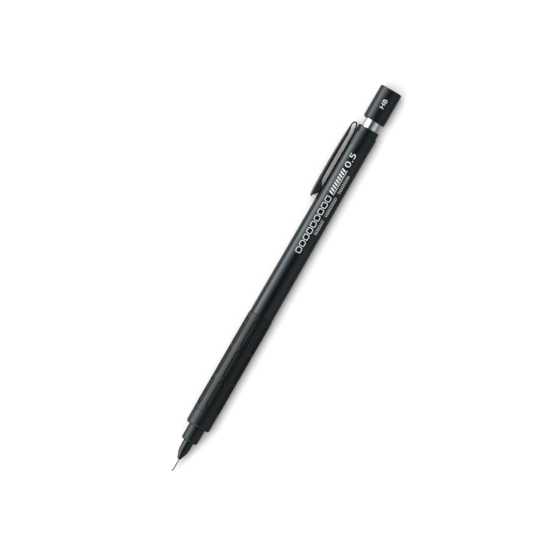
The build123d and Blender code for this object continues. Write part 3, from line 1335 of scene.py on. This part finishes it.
def flange_depth(x, y):
    """How far the clip's side flanges reach in from its outer face."""
    if y < 5:
        return SHEET + 0.02
    if x <= NOSE_X:
        return 0.82 + 0.2 * (y - NOSE_FOOT_Y) / (NOSE_TOP_Y - NOSE_FOOT_Y)
    for (x0, d0), (x1, d1) in zip(FLANGE_DEPTHS, FLANGE_DEPTHS[1:]):
        if x0 <= x <= x1:
            return d0 + (d1 - d0) * (x - x0) / (x1 - x0)
    return SHEET


def channel_section(half, depth):
    """Outline of the folded sheet as (across, down) points, from the inner corner round the outside."""
    corner = min(0.65, 0.42 * depth)
    fillet = min(0.15, (depth - SHEET) / 2)
    trim = min(0.07, (depth - SHEET) / 4)
    side = [
        (half - FLANGE - fillet, SHEET),
        (half - FLANGE, SHEET + fillet),
        (half - FLANGE, depth - trim),
        (half - FLANGE + trim, depth),
        (half - trim, depth),
        (half, depth - trim),
    ]
    for step in range(6):
        turn = step * math.pi / 10
        side.append((half - corner * (1 - math.cos(turn)), corner * (1 - math.sin(turn))))
    return side + [(-across, down) for across, down in reversed(side)]


class PENCIL_OT_clip(bpy.types.Operator):
    """The clip: a ring on the barrel and one bent sheet from its root round to the foot"""

    bl_idname = "pencil.clip"
    bl_label = "Clip"

    def execute(self, context):
        band = turned(
            "clip_ring",
            [
                (BAND_X, 3.51),
                (BAND_X, BAND_R - 0.1),
                (BAND_X + 0.1, BAND_R),
                (TAIL_X - 0.12, BAND_R),
                (TAIL_X - 0.01, BAND_R - 0.12),
                (TAIL_X - 0.01, 3.51),
            ],
        )
        dress(band, moulded_black(), "body", ["clip_band"])

        path = clip_path()
        loops = []
        for k, (x, y) in enumerate(path):
            before, after = path[max(0, k - 1)], path[min(len(path) - 1, k + 1)]
            along = Vector((after[0] - before[0], after[1] - before[1])).normalized()
            outward = Vector((along.y, -along.x))
            half = CLIP_HALF_WIDTH
            near_tip = min(1.0, (x - CLIP_TIP_X) / 1.6)
            half -= 0.5 * (1 - near_tip) ** 2
            depth = flange_depth(x, y)
            loops.append(
                [
                    Vector((x - outward.x * down, y - outward.y * down, across)) * MM
                    for across, down in channel_section(half, depth)
                ]
            )
        clip = skinned("clip_spring", loops, "fill")
        soften(clip, 0.05 * MM, segments=2, angle=60)
        clip.data.materials.append(clip_black())
        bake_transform(clip)
        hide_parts("clip_arm")
        return {"FINISHED"}


class PENCIL_OT_push_end(bpy.types.Operator):
    """Chromed tube, eraser and push cap"""

    bl_idname = "pencil.push_end"
    bl_label = "Push end"

    def execute(self, context):
        eraser_x, eraser_top_x, eraser_r = span("eraser")
        holder = turned(
            "chrome_tube",
            [
                (HOLDER_X, 1.81),
                (HOLDER_X, TUBE_R - 0.3),
                (HOLDER_X + 0.3, TUBE_R),
                (HOLDER_REAR_X - 0.2, TUBE_R),
                (HOLDER_REAR_X, TUBE_R - 0.2),
                (HOLDER_REAR_X, 2.35),
                (eraser_x - 0.2, 2.35),
                (eraser_x - 0.2, 1.5),
                (HOLDER_X + 6.0, 1.5),
                (HOLDER_X + 6.0, 1.81),
            ],
        )
        dress(holder, chrome_plate(), "push_train", ["eraser_holder"])
        crown = arc(eraser_top_x, eraser_r, eraser_top_x - 0.6, eraser_r - 0.6)
        eraser = turned(
            "eraser_plug",
            [(eraser_x, 0), (eraser_x, eraser_r - 0.1), (eraser_x + 0.1, eraser_r)]
            + crown
            + [(eraser_top_x + 0.02, eraser_r * 0.4), (eraser_top_x + 0.02, 0)],
            edge=0.03 * MM,
            count=96,
        )
        dress(eraser, eraser_white(), "eraser_plug", ["eraser"])
        groove_x = CAP_X + 0.5
        rim = arc(CAP_TOP_X, CAP_R, CAP_TOP_X - 0.3, CAP_R - 0.3)
        cap = turned(
            "cap_shell",
            [
                (CAP_TOP_X - CAP_ROOF, 0),
                (CAP_TOP_X - CAP_ROOF, CAP_BORE_R),
                (CAP_X, CAP_BORE_R),
                (CAP_X, CAP_R - 0.35),
                (CAP_X + 0.35, CAP_R),
                (groove_x, CAP_R),
                (groove_x, CAP_R - CAP_GROOVE),
                (groove_x + CAP_GROOVE, CAP_R - CAP_GROOVE),
                (groove_x + CAP_GROOVE, CAP_R),
            ]
            + rim
            + [(CAP_TOP_X, 0)],
            edge=0.04 * MM,
        )
        dress(cap, moulded_black(), "cap", ["push_cap"])
        return {"FINISHED"}


class PENCIL_OT_clutch(bpy.types.Operator):
    """Chuck ring, jaws and stem, the connector, the lead tube and the spare leads"""

    bl_idname = "pencil.clutch"
    bl_label = "Clutch and magazine"

    def execute(self, context):
        ring_x, ring_rear_x, ring_r = span("clutch_ring")
        grip_ring = turned(
            "chuck_ring",
            [
                (ring_x, 1.3),
                (ring_x, ring_r - 0.15),
                (ring_x + 0.15, ring_r),
                (ring_rear_x - 0.15, ring_r),
                (ring_rear_x, ring_r - 0.15),
                (ring_rear_x, 1.05),
                (ring_rear_x - 0.5, 1.05),
            ],
            edge=0.04 * MM,
            count=96,
        )
        dress(grip_ring, turned_brass(), "clutch", ["clutch_ring"])
        self.jaws()
        stem_x, stem_rear_x, stem_r = span("chuck_stem")
        stem = turned(
            "chuck_tail",
            [
                (stem_x, 0.45),
                (stem_x, stem_r - 0.2),
                (stem_x + 0.6, stem_r - 0.2),
                (stem_x + 0.6, stem_r),
                (stem_x + 1.4, stem_r),
                (stem_x + 1.4, stem_r - 0.2),
                (stem_rear_x - 0.15, stem_r - 0.2),
                (stem_rear_x, stem_r - 0.35),
                (stem_rear_x, 0.45),
            ],
            edge=0.03 * MM,
            count=72,
        )
        dress(stem, turned_brass(), "push_train", ["chuck_stem"])
        link_x, link_rear_x, link_r = span("chuck_connector")
        link = turned(
            "connector_body",
            [
                (link_x, 1.01),
                (link_x, 1.25),
                (link_x + 0.1, 1.35),
                (SPRING_FLANGE_X, 1.35),
                (SPRING_FLANGE_X, link_r),
                (SPRING_FLANGE_X + SPRING_FLANGE_LENGTH, link_r),
                (SPRING_FLANGE_X + SPRING_FLANGE_LENGTH, 1.49),
                (link_rear_x, 1.49),
                (link_rear_x, 1.35),
                (link_rear_x - 3.0, 0.36),
                (30.01, 0.36),
                (30.01, 1.01),
            ],
            edge=0.04 * MM,
            count=96,
        )
        dress(link, grey_plastic(), "push_train", ["chuck_connector"])
        tube_x, tube_rear_x, tube_r = span("lead_tube")
        tube = turned(
            "magazine_tube",
            tube_outline(tube_x, tube_rear_x, 1.5, tube_r),
            edge=0.04 * MM,
            count=96,
        )
        dress(tube, milky_plastic(), "push_train", ["lead_tube"])
        self.spares()
        return {"FINISHED"}

    def jaws(self):
        jaw_x, jaw_rear_x, _ = span("chuck_jaw_1")
        outline = [
            (jaw_x, 0.3),
            (jaw_x, 1.1),
            (jaw_x + 0.2, 1.3),
            (16.85, 1.3),
            (16.95, 1.25),
            (17.0, 1.25),
            (18.9, 1.0),
            (19.5, 0.85),
            (jaw_rear_x, 0.85),
            (jaw_rear_x, 0.45),
            (18.4, 0.45),
            (18.2, 0.3),
        ]
        loops = [ring(x, radius, 96) for x, radius in outline]
        jaw = skinned("jaw_1_brass", loops, "join")
        bpy.ops.object.mode_set(mode="EDIT")
        for way in (1, -1):
            edge_angle = way * math.radians(55)
            outward = Vector((0, -math.sin(edge_angle), math.cos(edge_angle))) * way
            bpy.ops.mesh.select_all(action="SELECT")
            bpy.ops.mesh.bisect(
                plane_co=(0, 0, 0), plane_no=outward, use_fill=True, clear_outer=True
            )
        bpy.ops.object.mode_set(mode="OBJECT")
        soften(jaw, 0.03 * MM, segments=2, angle=35)
        jaws = [jaw] + [copied(jaw, round_axis(k, 3), f"jaw_{k + 1}_brass") for k in (1, 2)]
        for number, jaw in enumerate(jaws, 1):
            dress(jaw, turned_brass(), f"jaw_{number}", [f"chuck_jaw_{number}"])

    def spares(self):
        front_x, rear_x, _ = span("spare_leads")
        ends = [(front_x, 0), (front_x, LEAD_R), (rear_x, LEAD_R), (rear_x, 0)]
        stick = turned("spare_stick_1", ends, edge=0.02 * MM, count=24)
        stick.data.transform(Matrix.Translation((0, SPARE_OFFSET * MM, 0)))
        sticks = [stick]
        sticks += [copied(stick, round_axis(k, 3), f"spare_stick_{k + 1}") for k in (1, 2)]
        for stick in sticks:
            dress(stick, graphite(), "lead_stock", ["spare_leads"])


class PENCIL_OT_spring(bpy.types.Operator):
    """Return spring with closed end turns"""

    bl_idname = "pencil.spring"
    bl_label = "Return spring"

    def execute(self, context):
        low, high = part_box("return_spring")
        wire, coil, turns, steps, sides = WIRE_R * MM, COIL_R * MM, COIL_TURNS, 36, 10
        length = high.x - low.x - 2 * wire
        closed = 2 * wire / length
        loops = []
        for k in range(turns * steps + 1):
            share = k / (turns * steps)
            turn = share * turns * 2 * math.pi
            if share < 1 / turns:
                along = share * turns * closed
            elif share > 1 - 1 / turns:
                along = 1 - (1 - share) * turns * closed
            else:
                along = closed + (share - 1 / turns) / (1 - 2 / turns) * (1 - 2 * closed)
            spoke = Vector((0, math.sin(turn), math.cos(turn)))
            centre = Vector((low.x + wire + along * length, 0, 0)) + spoke * coil
            loops.append(
                [
                    centre
                    + (
                        spoke * math.cos(2 * math.pi * s / sides)
                        + Vector((1, 0, 0)) * math.sin(2 * math.pi * s / sides)
                    )
                    * wire
                    for s in range(sides)
                ]
            )
        spring = skinned("coil_spring", loops, "fill")
        pick(spring)
        bpy.ops.object.shade_smooth_by_angle(angle=math.radians(50))
        spring.data.materials.append(drawn_wire())
        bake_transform(spring)
        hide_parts("return_spring")
        return {"FINISHED"}


# Stage ---------------------------------------------------------------------------------------------


TABLE_SIZE = 6
SEEN_MIDDLE = Vector((0.07407, 0.00104, 0))
SEEN_WIDTH = 0.18972
LEAN = math.radians(30)
LIGHT_RISE = math.radians(72)
LIGHT_SIZE = (1.2, 0.5)
LIGHT_WATTS = 8.2
FILL_LEVEL = 0.65


def table_white():
    """White table with an almost invisible unevenness. Glossy rays see it painted darker, and darkest
    on the -Y side as a painted shadow of the pencil in reflections.
    """
    material = bpy.data.materials.new("Table white")
    material.use_nodes = True
    tree = material.node_tree
    shader = tree.nodes["Principled BSDF"]
    shader.inputs["Roughness"].default_value = 0.9
    shader.inputs["Specular IOR Level"].default_value = 0.0
    place = add_node(tree, "TexCoord")
    cloud = add_node(tree, "TexNoise", {"Scale": 3.0})
    tone = add_node(tree, "Mix", data_type="RGBA")
    tone.inputs["A"].default_value = (0.93, 0.925, 0.92, 1)
    tone.inputs["B"].default_value = (0.95, 0.945, 0.94, 1)
    # Painted reflection: glossy rays see a darker table, 0.56 on the lit side falling to 0.2 on the -Y
    # side as painted shadow.
    kind = add_node(tree, "LightPath")
    seen = add_node(tree, "Mix", data_type="RGBA")
    split = add_node(tree, "SeparateXYZ")
    dim = add_node(
        tree, "MapRange", {"From Min": -0.008, "From Max": 0.004, "To Min": 0.2, "To Max": 0.56}
    )
    connect(
        tree,
        (place, "Object", split, "Vector"),
        (split, "Y", dim, "Value"),
        (dim, "Result", seen, "B"),
        (place, "Object", cloud, "Vector"),
        (cloud, "Fac", tone, "Factor"),
        (kind, "Is Glossy Ray", seen, "Factor"),
        (tone, "Result", seen, "A"),
        (seen, "Result", shader, "Base Color"),
    )
    return material


# Brightness seen in a gloss, by the angle from straight up, in degrees, towards the clip side
ROOM_STOPS = (
    (-180, 0.4),
    (-90, 0.52),
    (-68, 0.66),
    (-46, 0.56),
    (-36, 0.45),
    (-26, 0.34),
    (-16, 0.2),
    (-8, 0.07),
    (2, 0.04),
    (9, 0.1),
    (15, 0.28),
    (23, 0.66),
    (32, 1.25),
    (43, 2.4),
    (53, 4.1),
    (63, 6.2),
    (75, 6.9),
    (87, 4.8),
    (98, 2.6),
    (180, 0.5),
)
ROOM_PEAK = 7.0


def room():
    """A studio room: a wide bright panel to the clip side, a dim one opposite, dark overhead."""
    world = bpy.data.worlds.new("Studio room")
    bpy.context.scene.world = world
    world.use_nodes = True
    tree = world.node_tree
    tree.nodes.clear()
    place = add_node(tree, "TexCoord")
    split = add_node(tree, "SeparateXYZ")
    angle = add_node(tree, "Math", operation="ARCTAN2")
    share = add_node(tree, "MapRange", {"From Min": -math.pi, "From Max": math.pi})
    ramp = add_node(tree, "ValToRGB")
    stops = ramp.color_ramp.elements
    while len(stops) < len(ROOM_STOPS):
        stops.new(0.5)
    for stop, (degrees, value) in zip(stops, ROOM_STOPS):
        stop.position = (degrees + 180) / 360
        level = value / ROOM_PEAK
        stop.color = (level, level, level, 1)
    gloss = add_node(tree, "Background", {"Strength": ROOM_PEAK})
    fill = add_node(tree, "Background", {"Color": (1.0, 0.995, 0.985, 1), "Strength": FILL_LEVEL})
    seen = add_node(tree, "Background", {"Strength": 1.0})
    kind = add_node(tree, "LightPath")
    by_gloss = add_node(tree, "MixShader")
    by_camera = add_node(tree, "MixShader")
    out = add_node(tree, "OutputWorld")
    connect(
        tree,
        (place, "Generated", split, "Vector"),
        (split, "Y", angle, 0),
        (split, "Z", angle, 1),
        (angle, "Value", share, "Value"),
        (share, "Result", ramp, "Fac"),
        (ramp, "Color", gloss, "Color"),
        (kind, "Is Glossy Ray", by_gloss, "Fac"),
        (fill, "Background", by_gloss, 1),
        (gloss, "Background", by_gloss, 2),
        (kind, "Is Camera Ray", by_camera, "Fac"),
        (by_gloss, "Shader", by_camera, 1),
        (seen, "Background", by_camera, 2),
        (by_camera, "Shader", out, "Surface"),
    )


class PENCIL_OT_stage(bpy.types.Operator):
    """White table, side light and a camera straight above"""

    bl_idname = "pencil.stage"
    bl_label = "Stage"

    def execute(self, context):
        scene = context.scene
        scene.view_settings.view_transform = "Standard"
        deselect()
        bpy.ops.mesh.primitive_grid_add(
            x_subdivisions=8, y_subdivisions=8, size=TABLE_SIZE, location=(0.07, 0, 0)
        )
        table = context.object
        table.name = "table_top"
        bpy.ops.object.transform_apply(location=True)
        table.data.transform(Matrix.Translation((0, 0, FLOOR_Z * MM)))
        table.data.materials.append(table_white())
        room()

        key = bpy.data.lights.new("Side light", "AREA")
        key.shape = "RECTANGLE"
        key.size, key.size_y = LIGHT_SIZE
        key.energy = LIGHT_WATTS
        key_object = bpy.data.objects.new("Side light", key)
        scene.collection.objects.link(key_object)
        from_side = Vector((0, math.cos(LIGHT_RISE), math.sin(LIGHT_RISE)))
        key_object.location = SEEN_MIDDLE + from_side
        key_object.rotation_euler = from_side.to_track_quat("Z", "Y").to_euler()
        key_object.visible_glossy = False

        camera = bpy.data.cameras.new("Overhead camera")
        camera.lens = 380.0
        camera.sensor_width = 36.0
        camera_object = bpy.data.objects.new("Overhead camera", camera)
        scene.collection.objects.link(camera_object)
        right = Vector((math.sin(LEAN), -math.cos(LEAN), 0))
        upward = Vector((math.cos(LEAN), math.sin(LEAN), 0))
        pose = Matrix((right, upward, Vector((0, 0, 1)))).transposed().to_4x4()
        height = SEEN_WIDTH * camera.lens / camera.sensor_width
        pose.translation = SEEN_MIDDLE + Vector((0, 0, height))
        camera_object.matrix_world = pose
        scene.camera = camera_object
        return {"FINISHED"}


class PENCIL_PT_panel(bpy.types.Panel):
    """Sizes, colours and the steps that build the pencil"""

    bl_label = "Mechanical pencil"
    bl_idname = "PENCIL_PT_panel"
    bl_space_type = "VIEW_3D"
    bl_region_type = "UI"
    bl_category = "Pencil"

    def draw(self, context):
        for group in (context.scene.pencil_sizes, context.scene.pencil_finishes):
            box = self.layout.box()
            for name in group.__annotations__:
                box.prop(group, name)
        for step in STEPS:
            self.layout.operator(step.bl_idname)


STEPS = (
    PENCIL_OT_nose,
    PENCIL_OT_grip,
    PENCIL_OT_barrel,
    PENCIL_OT_print,
    PENCIL_OT_clip,
    PENCIL_OT_push_end,
    PENCIL_OT_clutch,
    PENCIL_OT_spring,
    PENCIL_OT_stage,
)
CLASSES = (PencilSizes, PencilFinishes, *STEPS, PENCIL_PT_panel)


def register():
    for item in CLASSES:
        bpy.utils.register_class(item)
    bpy.types.Scene.pencil_sizes = PointerProperty(type=PencilSizes)
    bpy.types.Scene.pencil_finishes = PointerProperty(type=PencilFinishes)


def unregister():
    del bpy.types.Scene.pencil_finishes
    del bpy.types.Scene.pencil_sizes
    for item in reversed(CLASSES):
        bpy.utils.unregister_class(item)


def main():
    register()
    bpy.ops.pencil.nose()
    bpy.ops.pencil.grip()
    bpy.ops.pencil.barrel()
    bpy.ops.pencil.print()
    bpy.ops.pencil.clip()
    bpy.ops.pencil.push_end()
    bpy.ops.pencil.clutch()
    bpy.ops.pencil.spring()
    bpy.ops.pencil.stage()


if __name__ == "__main__":
    main()
